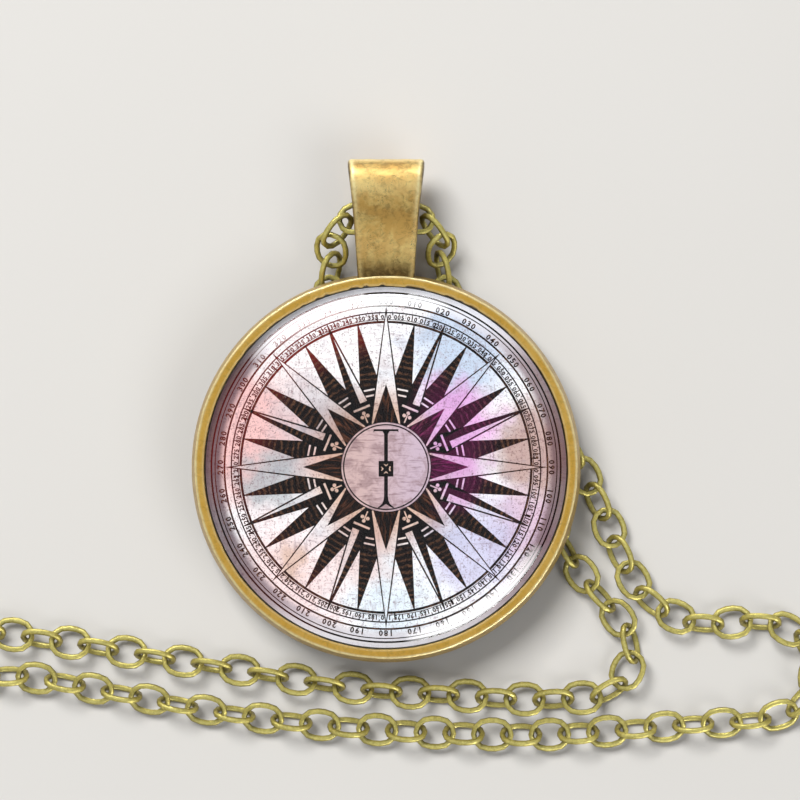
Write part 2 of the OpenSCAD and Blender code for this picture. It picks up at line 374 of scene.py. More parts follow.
def eased(tree, value, low, high, to_low=0.0, to_high=1.0):
    """A value carried smoothly from one range to another, and held at its ends."""
    inputs = {"Value": value, "From Min": low, "From Max": high, "To Min": to_low, "To Max": to_high}
    return add_node(tree, "ShaderNodeMapRange", {"interpolation_type": "SMOOTHSTEP"}, inputs).outputs[0]


def stained(tree, color, *stains):
    """A colour turned into each stain in turn, by up to a share, where its mask goes from low to high."""
    for mask, low, high, most, stain in stains:
        color = mixed(tree, eased(tree, mask, low, high, 0.0, most), color, stain)
    return color


def noise(tree, vector, scale, detail=3.0, roughness=0.55, distortion=0.0):
    """Soft noise with so many features to a millimetre."""
    inputs = {"Vector": vector, "Scale": scale, "Detail": detail, "Roughness": roughness}
    inputs["Distortion"] = distortion
    return add_node(tree, "ShaderNodeTexNoise", None, inputs).outputs["Fac"]


def in_millimetres(tree, vector):
    """Object coordinates in millimetres about the pendant's middle line."""
    inputs = {"Vector": vector, "Location": tuple(-CENTRE), "Scale": (1 / MM,) * 3}
    return add_node(tree, "ShaderNodeMapping", None, inputs).outputs[0]


def shader_group(name, inputs, outputs):
    """A new shared group, with what it is given and what it puts out."""
    group = bpy.data.node_groups.new(name, "ShaderNodeTree")
    for label, kind in inputs.items():
        group.interface.new_socket(label, in_out="INPUT", socket_type=kind)
    for label, kind in outputs.items():
        group.interface.new_socket(label, in_out="OUTPUT", socket_type=kind)
    return group, group.nodes.new("NodeGroupInput").outputs, group.nodes.new("NodeGroupOutput").inputs


def use_group(tree, group, inputs):
    """What a shared group puts out for these inputs."""
    return add_node(tree, "ShaderNodeGroup", {"node_tree": group}, inputs).outputs


def new_material(name):
    """A material, its tree, its shader and the object coordinates."""
    material = bpy.data.materials.new(name)
    material.use_nodes = True
    tree = material.node_tree
    coordinates = tree.nodes.new("ShaderNodeTexCoord").outputs["Object"]
    return material, tree, tree.nodes["Principled BSDF"], coordinates


def mark_of(tree, label):
    """A mesh's own mark, from 0 to 1."""
    return add_node(tree, "ShaderNodeAttribute", {"attribute_name": label}).outputs["Fac"]


def from_middle(tree, place):
    """Distance from the pendant's middle line, in millimetres."""
    return vector_figure(tree, "LENGTH", vector_figure(tree, "MULTIPLY", place, (1, 1, 0)))


# Finishes

COLOR, NUMBER, VECTOR = "NodeSocketColor", "NodeSocketFloat", "NodeSocketVector"


def patina_group():
    """Aged metal: clouds of brighter metal, mottling, small pits, edge wear, painted highlights and painted
    shade.
    """
    inputs = {
        "Vector": VECTOR, "Rubbed and Lit": COLOR, "Bright": COLOR, "Body": COLOR, "Dark": COLOR,
        "Wear and Glint": NUMBER, "Shade": NUMBER, "Pitting": NUMBER, "Grain": NUMBER, "Mottling": NUMBER,
    }
    outputs = {"Color": COLOR, "Roughness": NUMBER, "Height": NUMBER}
    tree, given, put = shader_group("patina", inputs, outputs)
    grain = add_node(
        tree, "ShaderNodeVectorMath", {"operation": "SCALE"}, {0: given["Vector"], "Scale": given["Grain"]}
    ).outputs[0]
    clouds = noise(tree, grain, 0.55, 5, 0.65, 0.4)
    mottles = noise(tree, grain, 1.9, 5, 0.7, 0.8)
    scratches = noise(tree, grain, 7.5, 2, 0.5, 1.6)
    patches = noise(tree, grain, 0.8, 2)
    pits = times(tree, eased(tree, scratches, 0.60, 0.68), eased(tree, patches, 0.42, 0.60))
    pits = times(tree, pits, given["Pitting"])
    shine = times(tree, eased(tree, clouds, 0.42, 0.62), given["Mottling"])
    tarnish = times(tree, eased(tree, mottles, 0.46, 0.70), given["Mottling"])
    # The pale mark is edge wear and painted highlights; the shade mark is painted shade, and a duller tone
    # on the tray's wall.
    shade = times(tree, given["Shade"], eased(tree, mottles, 0.25, 0.60, 0.75, 1.0))
    wear_and_glint = times(tree, given["Wear and Glint"], eased(tree, mottles, 0.35, 0.65, 1.0, 0.6))
    color = mixed(tree, shine, given["Body"], given["Bright"])
    for share in (times(tree, tarnish, 0.55), times(tree, pits, 0.85), shade):
        color = mixed(tree, share, color, given["Dark"])
    rough = figure(tree, "ADD", eased(tree, mottles, 0.35, 0.70, 0.38, 0.52), times(tree, pits, 0.2))
    fill(tree, put, {
        "Color": mixed(tree, wear_and_glint, color, given["Rubbed and Lit"]),
        "Roughness": figure(tree, "SUBTRACT", rough, times(tree, wear_and_glint, 0.08)),
        "Height": figure(tree, "SUBTRACT", times(tree, mottles, 0.35), pits),
    })
    return tree


def aged_metal(name, group, colors, pitting, grain, mottling, bump):
    """A metal material from the patina group, with its wear, painted highlights and painted shade read from
    the mesh's own marks. Tarnish takes the place of part of the bare metal, so it is part matt."""
    material, tree, shader, coordinates = new_material(name)
    rubbed_and_lit, bright, body, dark = colors
    made = use_group(tree, group, {
        "Vector": in_millimetres(tree, coordinates),
        "Rubbed and Lit": rubbed_and_lit, "Bright": bright, "Body": body, "Dark": dark,
        "Wear and Glint": mark_of(tree, "wear_and_glint"), "Shade": mark_of(tree, "shade"),
        "Pitting": pitting, "Grain": grain, "Mottling": mottling,
    })
    relief = {"Height": made["Height"], "Strength": bump, "Distance": 0.05 * MM}
    fill(tree, shader.inputs, {
        "Base Color": made["Color"], "Roughness": made["Roughness"], "Metallic": 0.6,
        "Normal": add_node(tree, "ShaderNodeBump", None, relief).outputs[0],
    })
    return material


# Washes of tint on the print: their middles in millimetres from the pendant's, radius, strength, and the
# colours of bare paper and of ink there
WASHES = [
    (-9.5, 2.5, 7.5, 0.85, rgb(240, 180, 174), rgb(96, 16, 14)),
    (-6.5, -7.5, 5.5, 0.65, rgb(246, 206, 200), rgb(70, 18, 12)),
    (-4.5, 8.0, 5.5, 0.80, rgb(255, 248, 246), rgb(120, 22, 18)),
    (-7.4, -0.9, 3.2, 0.70, rgb(158, 178, 182), rgb(10, 5, 5)),
    (-6.0, -6.1, 1.7, 0.55, rgb(200, 160, 122), rgb(30, 10, 4)),
    (-3.2, 3.0, 3.0, 0.60, rgb(190, 178, 180), rgb(30, 8, 8)),
    (-5.8, 3.6, 3.0, 0.50, rgb(198, 192, 196), rgb(30, 8, 8)),
    (5.0, 7.6, 4.6, 0.85, rgb(186, 204, 226), rgb(10, 5, 6)),
    (10.0, 1.2, 4.6, 0.90, rgb(188, 152, 142), rgb(44, 12, 4)),
    (9.3, -4.0, 3.6, 0.80, rgb(214, 176, 200), rgb(36, 6, 8)),
    (5.6, -5.2, 4.4, 0.80, rgb(200, 198, 228), rgb(12, 5, 8)),
    (0.6, -9.4, 4.2, 0.70, rgb(216, 232, 242), rgb(5, 4, 5)),
    (-1.6, -5.4, 2.8, 0.60, rgb(224, 190, 182), rgb(20, 6, 5)),
]
# Two magenta spots on the right, which tint the points down to their roots
GLOWS = [
    (4.3, 2.9, 3.9, 0.80, rgb(230, 152, 220), rgb(60, 5, 40)),
    (4.4, -0.4, 3.0, 0.75, rgb(226, 158, 212), rgb(66, 6, 46)),
]
BLACK_INK = rgb(10, 4, 4)


def washes_group():
    """Tints washed over printed paper: soft spots with ragged edges, then mottling, woven threads and
    specks, as the colours of bare paper and of ink."""
    outputs = {"Paper": COLOR, "Ink": COLOR, "Mottle": NUMBER, "Glow": NUMBER}
    tree, given, put = shader_group("washed tints", {"Vector": VECTOR}, outputs)
    place = given["Vector"]
    ragged = add_node(tree, "ShaderNodeTexNoise", None, {"Vector": place, "Scale": 0.55, "Detail": 4.0})
    pushed = vector_figure(tree, "MULTIPLY_ADD", ragged.outputs["Color"], (4.2, 4.2, 0), place)
    pushed = vector_figure(tree, "ADD", pushed, (-2.1, -2.1, 0))
    flat = vector_figure(tree, "MULTIPLY", pushed, (1, 1, 0))

    def washed(spots, paper, ink, cover):
        for x, y, radius, strength, paper_tint, ink_tint in spots:
            away = vector_figure(tree, "DISTANCE", flat, (x, y, 0))
            spot = eased(tree, away, radius, 0.35 * radius, 0.0, strength)
            paper, ink = mixed(tree, spot, paper, paper_tint), mixed(tree, spot, ink, ink_tint)
            cover = figure(tree, "MAXIMUM", cover, spot)
        return paper, ink, cover

    paper, ink, _ = washed(WASHES, rgb(255, 254, 255), BLACK_INK, 0.0)
    ink = mixed(tree, eased(tree, from_middle(tree, place), 9.4, 6.6), ink, BLACK_INK)
    paper, ink, glow = washed(GLOWS, paper, ink, 0.0)
    mottle = noise(tree, place, 1.1, 6, 0.7, 0.6)
    grime = noise(tree, place, 0.45, 6, 0.65, 1.0)
    specks = noise(tree, place, 3.6, 4, 0.75)
    fine = noise(tree, place, 9.0, 2, 0.6)
    across = vector_figure(tree, "MULTIPLY", place, (6.0, 0.8, 0))
    upwards = vector_figure(tree, "MULTIPLY", place, (0.8, 6.0, 0))
    threads = figure(tree, "MAXIMUM", noise(tree, across, 0.9, 2), noise(tree, upwards, 0.9, 2))
    paper = stained(
        tree, paper,
        (mottle, 0.50, 0.70, 0.28, rgb(146, 142, 156)), (grime, 0.52, 0.72, 0.28, rgb(170, 122, 120)),
        (threads, 0.58, 0.70, 0.32, rgb(132, 100, 108)), (specks, 0.56, 0.66, 0.62, rgb(118, 78, 84)),
        (fine, 0.57, 0.68, 0.55, rgb(80, 44, 48)),
    )
    fill(tree, put, {"Paper": paper, "Ink": ink, "Mottle": mottle, "Glow": glow})
    return tree


def printed(name, group, paint):
    """A printed surface: paint mixes the group's paper and ink colours into one."""
    material, tree, shader, coordinates = new_material(name)
    place = in_millimetres(tree, coordinates)
    color = paint(tree, place, use_group(tree, group, {"Vector": place}))
    fill(tree, shader.inputs, {"Base Color": color, "Roughness": 0.8, "Specular IOR Level": 0.0})
    return material


def paint_paper(tree, place, made):
    """Tinted paper with a warm grey margin outside the rings, brown at both sides, pale at top and foot."""
    inner_edge, outer_edge = (under_glass(radius) for radius in MARGIN_R)
    x, y, _ = by_axis(tree, place)
    edge = stained(
        tree, rgb(176, 158, 166),
        (x, -4.5, -11.0, 1.0, rgb(84, 60, 70)), (x, 6.0, 11.5, 1.0, rgb(112, 84, 88)),
        (y, -8.5, -11.5, 1.0, rgb(214, 210, 214)), (y, 6.5, 10.5, 1.0, rgb(238, 238, 244)),
    )
    return stained(tree, made["Paper"], (from_middle(tree, place), inner_edge, outer_edge, 0.85, edge))


def paint_ink(tree, place, made):
    """Ink with faint hatching across the points, brown or, in the magenta spots, magenta."""
    radius = from_middle(tree, place)
    ragged = figure(tree, "ADD", radius, times(tree, made["Mottle"], 0.7))
    hatch = eased(tree, figure(tree, "SINE", times(tree, ragged, 16.0)), -0.1, 1.0)
    worn_off = noise(tree, place, 3.4, 5, 0.75, 1.0)
    shown = times(tree, hatch, eased(tree, worn_off, 0.40, 0.62))
    shown = times(tree, shown, eased(tree, radius, 4.4, 6.0, 0.0, 0.55))
    shown = figure(tree, "MAXIMUM", shown, eased(tree, worn_off, 0.58, 0.76, 0.0, 0.40))
    under = mixed(tree, made["Glow"], rgb(128, 88, 62), rgb(136, 36, 106))
    return mixed(tree, shown, made["Ink"], under)


def paint_light(tree, place, made):
    """The rose's light points: paper, greyer halfway down, and tan at the middle where it isn't magenta."""
    radius = from_middle(tree, place)
    half = eased(tree, radius, 8.6, 6.2, 0.0, 0.25)
    near = figure(tree, "SUBTRACT", eased(tree, radius, 6.2, 3.2, 0.0, 0.9), made["Glow"])
    near = figure(tree, "MAXIMUM", near, 0.0)
    cool = mixed(tree, half, made["Paper"], rgb(196, 204, 210), "MULTIPLY")
    return mixed(tree, near, cool, rgb(226, 184, 156), "MULTIPLY")


def paint_brown(tree, place, made):
    """Dark ink with brown streaks that run out from the middle, or magenta ones in the magenta spots."""
    x, y, _ = by_axis(tree, place)
    turn = times(tree, figure(tree, "ARCTAN2", y, x), 9.0)
    out = times(tree, from_middle(tree, place), 0.35)
    rays = add_node(tree, "ShaderNodeCombineXYZ", None, {0: turn, 1: out}).outputs[0]
    streaks = noise(tree, rays, 2.2, 4, 0.7, 0.3)
    brown = mixed(tree, made["Glow"], rgb(116, 70, 46), rgb(168, 36, 132))
    return stained(tree, made["Ink"], (streaks, 0.46, 0.70, 0.65, brown))


def paint_hub(tree, place, made):
    """The middle disc: grey pink paper with smudges and faint uneven threads."""
    threads = noise(tree, vector_figure(tree, "MULTIPLY", place, (0.5, 5.0, 0)), 1.6, 3, 0.6, 0.3)
    smudges = noise(tree, place, 1.1, 5, 0.7, 0.8)
    return stained(
        tree, rgb(204, 174, 170), (by_axis(tree, place)[0], -2.0, 2.4, 1.0, rgb(200, 178, 192)),
        (smudges, 0.42, 0.68, 0.8, rgb(150, 122, 124)), (threads, 0.52, 0.66, 0.45, rgb(104, 72, 76)),
    )


def glass_material():
    """Clear glass. Light on its way to the print, and light that the print scatters, pass straight through
    it, as they all but do."""
    material, tree, shader, _ = new_material("dome_glass")
    fill(tree, shader.inputs, {
        "Base Color": rgb(252, 253, 255), "Roughness": 0.0, "IOR": GLASS_IOR,
        "Transmission Weight": 1.0, "Specular IOR Level": 0.22,
    })
    clear = add_node(tree, "ShaderNodeBsdfTransparent").outputs[0]
    path = add_node(tree, "ShaderNodeLightPath").outputs
    straight = figure(tree, "MAXIMUM", path["Is Shadow Ray"], path["Is Diffuse Ray"])
    either = add_node(tree, "ShaderNodeMixShader", None, {0: straight, 1: shader.outputs[0], 2: clear})
    fill(tree, tree.nodes["Material Output"].inputs, {"Surface": either.outputs[0]})
    return material


# Setting


def tray_profile():
    """The tray's half section, from its back's middle round the wall and the lip to its floor's middle."""
    wall_top = TRAY_H - LIP_ROUND
    return np.concatenate([
        line((0, 0), (BACK_R - BACK_BEVEL, 0), 14),
        arc((BACK_R - BACK_BEVEL, BACK_BEVEL), BACK_BEVEL, -90, 0, 6)[:-1],
        line((BACK_R, BACK_BEVEL), (RIM_R, wall_top), 20),
        arc((RIM_R - LIP_ROUND, wall_top), LIP_ROUND, 0, 90, 10)[:-1],
        line((RIM_R - LIP_ROUND, TRAY_H), (RECESS_R + LIP_INNER_ROUND, TRAY_H), 6),
        arc((RECESS_R + LIP_INNER_ROUND, TRAY_H - LIP_INNER_ROUND), LIP_INNER_ROUND, 90, 180, 7)[:-1],
        line((RECESS_R, TRAY_H - LIP_INNER_ROUND), (RECESS_R, FLOOR_T), 10),
        line((RECESS_R, FLOOR_T), (0, FLOOR_T), 8),
        [(0, FLOOR_T)],
    ])


def hand_worn(radius, height, angle):
    """Small waves along the lip and the wall, a few nicks in the lip's inner edge, and at the top a ragged
    edge that leaves the gap at the glass in dashes."""
    degrees = np.degrees(angle)
    lip = np.clip((height - 0.5 * TRAY_H) / (0.5 * TRAY_H), 0, 1)
    inner = bell(radius, RECESS_R, 0.2) * lip ** 3
    waves = np.sin(9 * angle + 1) + 0.7 * np.sin(23 * angle + 2 * height) + 0.5 * np.sin(51 * angle + 0.7)
    nicks = sum(bell(degrees, place, 0.9) for place in (47, 118, 131, 143, 205, 318))
    dashes = np.sin(37 * angle) + np.sin(83 * angle + 1) + 0.8 * np.sin(23 * angle)
    dashes = np.where(dashes + 0.7 * np.sin(139 * angle) > 0.4, 0.9, -0.8) * bell(degrees, 92, 34)
    edge = 0.012 * waves + 0.05 * nicks - 0.085 * dashes
    wall = np.clip(height / TRAY_H, 0, 1) * (radius > RIM_R - LIP_ROUND)
    radius = radius + 0.012 * wall * waves - inner * edge
    sag = np.sin(5 * angle + 2) + 0.8 * np.sin(17 * angle) + 0.6 * np.sin(37 * angle + 1)
    return radius, height - np.abs(0.014 * lip ** 4 * sag) * (height > 0.8 * TRAY_H)


def add_tray(material):
    """The tray, with painted highlights on both edges of its lip, a dull wall and painted shade in the gap
    at the glass.
    """
    profile = tray_profile()
    turns = 480
    points, faces = turned(profile, turns, hand_worn)
    radius, height = profile.T
    # Painted highlights: pale bands along the lip's outer and inner rounding.
    outer_edge = bell(radius, RIM_R - 0.09, 0.08) * (height > TRAY_H - LIP_ROUND)
    inner_edge = bell(radius, RECESS_R + 0.07, 0.06) * (height > TRAY_H - LIP_INNER_ROUND)
    wall = (radius > RIM_R - 0.04) * (height < TRAY_H - 0.6 * LIP_ROUND)
    # Painted shade: the recess beside the glass, its wall and floor, goes dark.
    gap = (radius <= RECESS_R + 0.01) * (height < TRAY_H - 0.15)
    spread = np.r_[0, np.repeat(np.arange(1, len(profile) - 1), turns), len(profile) - 1]
    wear_and_glint = outer_edge + 0.4 * inner_edge + 0.1 * wall
    marks = {"wear_and_glint": wear_and_glint[spread], "shade": (0.45 * wall + gap)[spread]}
    points = points + (CENTRE_X, CENTRE_Y, BACK_Z)
    new_piece("tray", points, faces, material, ["setting"], marks)


def bail_loops():
    """The strap's outer and inner outlines seen from the side, point for point: a run up, the fold, a run
    down, and the foot. The runs touch the fold's circle and, inside, a small circle at the foot."""
    fold_y = BAIL_TOP_Y - BAIL_R
    foot_y = RECESS_R + LIP_W / 2
    run = fold_y - foot_y
    taper = math.asin(BAIL_R / math.hypot(run, BAIL_FOOT_DEPTH / 2)) - math.atan2(BAIL_FOOT_DEPTH / 2, run)
    foot = BAIL_R / math.cos(taper) - math.tan(taper) * run
    turn = math.degrees(taper)
    side = BAIL_R * np.array([-math.sin(taper), math.cos(taper)])
    outer = np.concatenate([
        line((foot_y, -foot), side * (1, -1) + (fold_y, 0), BAIL_RUN_STEPS),
        arc((fold_y, 0), BAIL_R, -90 - turn, 90 + turn, BAIL_FOLD_STEPS + 1)[:-1],
        line(side + (fold_y, 0), (foot_y, foot), BAIL_RUN_STEPS),
        line((foot_y, foot), (foot_y, -foot), BAIL_FOOT_STEPS),
    ])
    hole_r = BAIL_R - BAIL_WALL
    hole_foot_y = BACK_R + BAIL_HOLE_RISE
    hole_foot_r = hole_r - (fold_y - hole_foot_y) * math.sin(taper)
    counts = (BAIL_RUN_STEPS, BAIL_FOLD_STEPS, BAIL_FOOT_STEPS)
    return outer, belt(fold_y, hole_r, hole_foot_y, hole_foot_r, counts), foot_y


def add_bail(material):
    """The strap round its two outlines, a little dented. It has painted highlights along its edges, at the
    fold and in two gleams across it, and painted shade at its rim and inside, below the fold, halfway down
    and at its foot."""
    outer, inner, foot_y = bail_loops()
    rise = np.clip((outer[:, 0] - foot_y) / (BAIL_TOP_Y - foot_y), 0, 1)
    half = (BAIL_FOOT_W + (BAIL_TOP_W - BAIL_FOOT_W) * rise) / 2 - BAIL_WAIST * np.sin(math.pi * rise)
    section = section_round(BAIL_EDGE_ROUND, BAIL_INNER_ROUND, 26, 4, 7)
    across, plane, thick = strap(outer, inner, half, section)
    along = plane[..., 0]
    face = np.clip(1 - section[2] * 2, 0, 1)[None, :]
    dents = np.sin(2.3 * across + 1.1 * along) * np.sin(1.7 * along + 0.8)
    dents = 0.012 * (1 + dents + 0.6 * np.sin(5.1 * across + 3.7 * along)) * face
    plane = plane + (inner - outer)[:, None, :] / thick[..., None] * dents[..., None]
    points = np.stack([across, plane[..., 0], plane[..., 1]], -1).reshape(-1, 3)
    faces = outward(points, [grid_quads(len(outer), len(section[0]), True, True)])
    border = half[:, None] - np.abs(across)
    up = (along - foot_y) / (BAIL_TOP_Y - foot_y)
    below_top = BAIL_TOP_Y - along
    front = (plane[..., 1] > 0) * face
    # Painted highlights: strips inside the side edges, a line at the fold, and two soft gleams across the
    # front.
    strips = bell(border, 0.26, 0.13) * (0.2 + 0.8 * np.clip((up - 0.45) / 0.25, 0, 1))
    gleam = 0.30 * bell(below_top, 2.1, 0.7) + 0.16 * bell(below_top, 6.2, 1.0)
    wear_and_glint = (strips + 0.7 * bell(below_top, 0.12, 0.14) + gleam) * front
    # Painted shade: thin lines at the side borders and the inner side, a band below the fold, a band
    # halfway down, and the foot.
    rim = bell(border, 0, 0.09) + 0.6 * (1 - face)
    under_fold = (0.5 * bell(below_top, 0.42, 0.12) + 0.4 * bell(below_top, 0.95, 0.4)) * front
    foot = 0.95 * bell(up, 0.05, 0.12) * np.clip(1.3 - (across / half[:, None]) ** 4, 0, 1)
    shade = foot + 0.36 * bell(up, 0.55, 0.14) + under_fold + rim
    marks = {"wear_and_glint": np.clip(wear_and_glint, 0, 1), "shade": np.clip(shade, 0, 1)}
    points = points + (CENTRE_X, CENTRE_Y, BAIL_Z)
    new_piece("bail", points, faces, material, ["setting"], marks)


# Glass and print


def add_glass(material):
    """Flat below, an upright edge with softened corners, and a dome that is part of a sphere."""
    soft = 0.08
    shoulder = math.degrees(math.asin(GLASS_R / DOME_R))
    centre_z = GLASS_H - DOME_R
    dome = arc((0, centre_z), DOME_R, 90 - shoulder + 0.3, 90, 64)
    profile = np.concatenate([
        line((0, 0), (GLASS_R - soft, 0), 10),
        arc((GLASS_R - soft, soft), soft, -90, 0, 6)[:-1],
        line((GLASS_R, soft), (GLASS_R, GLASS_EDGE_H - 0.05), 8),
        [(GLASS_R, GLASS_EDGE_H - 0.05), (GLASS_R - 0.01, GLASS_EDGE_H)],
        dome[:-1],
        [(0, GLASS_H)],
    ])
    points, faces = turned(profile, 256)
    points = points + (CENTRE_X, CENTRE_Y, glass_low[2])
    new_piece("glass_dome", points, faces, material, ["glass_cabochon"])


def under_glass(radius):
    """Where on the print a look straight down lands. The ray meets the dome at this radius, bends towards
    the axis by Snell's law, and drops through the glass to the print."""
    slope = np.arcsin(np.clip(radius / DOME_R, 0, 1))
    bend = slope - np.arcsin(np.sin(slope) / GLASS_IOR)
    height = GLASS_EDGE_H + SEAT_GAP + np.sqrt(DOME_R ** 2 - np.square(radius)) - (DOME_R - DOME_H)
    return radius - height * np.tan(bend)


def seen(flat):
    """Flat points moved in from where they are seen to where they are printed."""
    radius = np.maximum(np.linalg.norm(flat, axis=-1, keepdims=True), 1e-9)
    return flat * under_glass(radius) / radius


def split_edges(shape, steps):
    """Each edge of an outline cut into even steps, so that it stays straight to the eye under the dome."""
    share = (np.arange(steps) / steps)[:, None]
    after = np.roll(shape, -1, axis=-2)
    cut = shape[..., :, None, :] + share * (after - shape)[..., :, None, :]
    return cut.reshape(*shape.shape[:-2], -1, 2)


def around(shape, angles):
    """Copies of an outline, drawn along a ray, turned to each angle in degrees."""
    turn = np.radians(np.asarray(angles))[:, None]
    u, v = shape[None, :, 0], shape[None, :, 1]
    return np.stack([u * np.cos(turn) - v * np.sin(turn), u * np.sin(turn) + v * np.cos(turn)], -1)


def ink_levels(layer):
    """The bottom and the top of a layer of ink."""
    low = disc_high[2] + layer * INK_T
    return low, low + INK_T


def prisms(shape, angles, layer, shift=(0, 0)):
    """Thin prisms: an outline turned to each angle, moved in to where it is printed, and carried straight
    up through its layer of ink."""
    shapes = seen(around(shape, angles) + shift)
    count, corners = shapes.shape[:2]
    points = np.empty((count, 2, corners, 3))
    points[..., :2] = (shapes + CENTRE[:2])[:, None]
    points[..., 2] = np.array(ink_levels(layer))[None, :, None]
    start = (np.arange(count) * 2 * corners)[:, None]
    corner = np.arange(corners)[None, :]
    after = (corner + 1) % corners
    sides = np.stack([start + corner, start + after, start + corners + after, start + corners + corner], -1)
    caps = [(start + corner)[:, ::-1], start + corners + corner]
    return points.reshape(-1, 3), [sides.reshape(-1, 4), *caps]


def gather(parts):
    """Several point and face sets as one."""
    points, faces, start = [], [], 0
    for part_points, part_faces in parts:
        points.append(part_points)
        faces += [f + start for f in part_faces]
        start += len(part_points)
    return np.concatenate(points), faces


def hoop(radius, width, layer):
    """A thin printed line round the middle."""
    low, high = ink_levels(layer)
    inside, outside = under_glass(radius - width / 2), under_glass(radius + width / 2)
    section = np.array([(inside, low), (outside, low), (outside, high), (inside, high)])
    points, faces = carried_round(*section.T, 192)
    return points + CENTRE, faces


def round_shape(radius, corners):
    """A circle round the middle as an outline of so many corners."""
    return arc((0, 0), radius, 0, 360 * (corners - 1) / corners, corners)


def add_ink(name, parts, material):
    """One printed piece, flat shaded, of all the parts on it."""
    points, faces = gather(parts)
    piece = new_piece(name, points, faces, material)
    piece.data.shade_flat()


def kites(tip, half, steps, layer):
    """Eight long points along rays, each with its root cut square under the middle disc."""
    root = HUB_R - 0.1
    shape = np.array([(root, -half), (tip, 0), (root, half)])
    return prisms(split_edges(shape, steps), EIGHTHS, layer)


def crossbar(distance, length, width):
    """A bar across a ray at a distance along it."""
    return mirrored([(distance - width / 2, -length / 2), (distance + width / 2, -length / 2)])


def mirrored(half_outline):
    """An outline along a ray, from its corners on one side and the same ones on the other."""
    half_outline = np.array(half_outline)
    return np.concatenate([half_outline, half_outline[::-1] * (1, -1)])


# Directions of the rose, in degrees
EIGHTHS = np.arange(8) * 45
HALVES = EIGHTHS + 22.5
QUARTERS = np.arange(16) * 22.5 + 11.25


def add_rose(ink, light, brown, hub):
    """The compass rose, layer on layer: the dark field and its points, the light halves and bars, the
    eight main points over them, and the middle disc with its needle."""
    dart = mirrored([(HUB_R, -0.45), (DART_ROOT_R, -DART_HALF), (DART_R, -0.02)])
    split = mirrored([(HUB_R, -0.9), (SPLIT_ROOT_R, -SPLIT_HALF), (SPLIT_R, -0.045)])
    add_ink("rose_dark_points", [
        prisms(split_edges(dart, 6), QUARTERS, 0),
        prisms(split_edges(split, 6), HALVES, 0),
        prisms(round_shape(DARK_FIELD_R, 64), [0], 0),
    ], ink)

    half_point = np.array([
        (SPLIT_ROOT_R + 0.1, -SPLIT_HALF + 0.12), (SPLIT_R - 1.0, -0.035), (SPLIT_ROOT_R + 0.1, -0.03),
    ])
    leaves = [round_shape(0.13, 10) + place for place in ((3.78, 0.2), (3.78, -0.2), (4.02, 0))]
    add_ink("rose_light_halves", [
        prisms(shape, turns, 1)
        for shape, turns in (
            (split_edges(half_point, 6), HALVES), (crossbar(5.45, 0.95, 0.12), QUARTERS),
            (crossbar(5.05, 0.85, 0.12), QUARTERS), (crossbar(4.38, 1.2, 0.15), HALVES),
            (crossbar(3.62, 0.09, 0.62), HALVES), *[(leaf, HALVES) for leaf in leaves],
        )
    ], light)

    add_ink("rose_outlines", [kites(KITE_R, KITE_HALF, 8, 2)], ink)
    add_ink("rose_main_points", [kites(KITE_R - 0.55, KITE_HALF - OUTLINE, 8, 3)], light)
    add_ink("rose_spikes", [kites(SPIKE_R, KITE_HALF - 0.22, 4, 4)], brown)
    add_ink("hub_disc", [prisms(round_shape(HUB_R, 96), [0], 5)], hub)

    tail = [
        (-2.56, 0), (-2.64, 0.13), (-2.76, 0.3), (-2.85, 0.5), (-2.78, 0.56), (-2.68, 0.42), (-2.54, 0.27),
        (-2.32, 0.17), (-1.95, 0.13),
    ]
    shaft, crossing = [(-1.95, -0.13), (2.5, -0.13)], [(2.48, -0.8), (2.38, -0.86), (2.62, -0.86)]
    square, head = [(-0.66, -0.51), (0.42, -0.51)], [(2.3, -0.14), (2.5, -0.26)]
    add_ink("needle", [
        hoop(HUB_R, 0.04, 6), hoop(HUB_LINE_R, 0.09, 6),
        *[prisms(mirrored(half), [90], 6) for half in (shaft, crossing, square, tail, head)],
    ], ink)
    arrow = np.array([(0.16, 0), (0.3, -0.14), (0.34, -0.14), (0.26, 0), (0.34, 0.14), (0.3, 0.14)])
    hook = np.array([(0.2, 0), (0.24, -0.16), (0.34, -0.16), (0.3, 0), (0.34, 0.16), (0.24, 0.16)])
    add_ink("needle_marks", [
        prisms(shape, turns, 7, (0, -0.12)) for shape, turns in ((arrow, [90, 180, 270]), (hook, [0]))
    ], light)


def digit_solids(height):
    """Each digit as a flat solid of that height, about its middle: points and faces of built-in type."""
    digits = []
    for digit in range(10):
        type_curve = bpy.data.curves.new("digit", "FONT")
        type_curve.body = str(digit)
        type_curve.align_x, type_curve.align_y = "CENTER", "CENTER"
        type_curve.extrude = 0.5
        type_curve.offset = 0.035
        type_curve.resolution_u = 2
        written = new_object("digit", type_curve)
        bpy.context.view_layer.update()
        evaluated = written.evaluated_get(bpy.context.evaluated_depsgraph_get())
        mesh = bpy.data.meshes.new_from_object(evaluated)
        points = np.array([vertex.co for vertex in mesh.vertices]).round(5)
        points, joined = np.unique(points, axis=0, return_inverse=True)
        faces = [joined.ravel()[np.array([polygon.vertices[:]])] for polygon in mesh.polygons]
        points[:, :2] *= height / np.ptp(points[:, 1])
        digits.append((points, faces))
        bpy.data.objects.remove(written)
        bpy.data.curves.remove(type_curve)
        bpy.data.meshes.remove(mesh)
    return digits


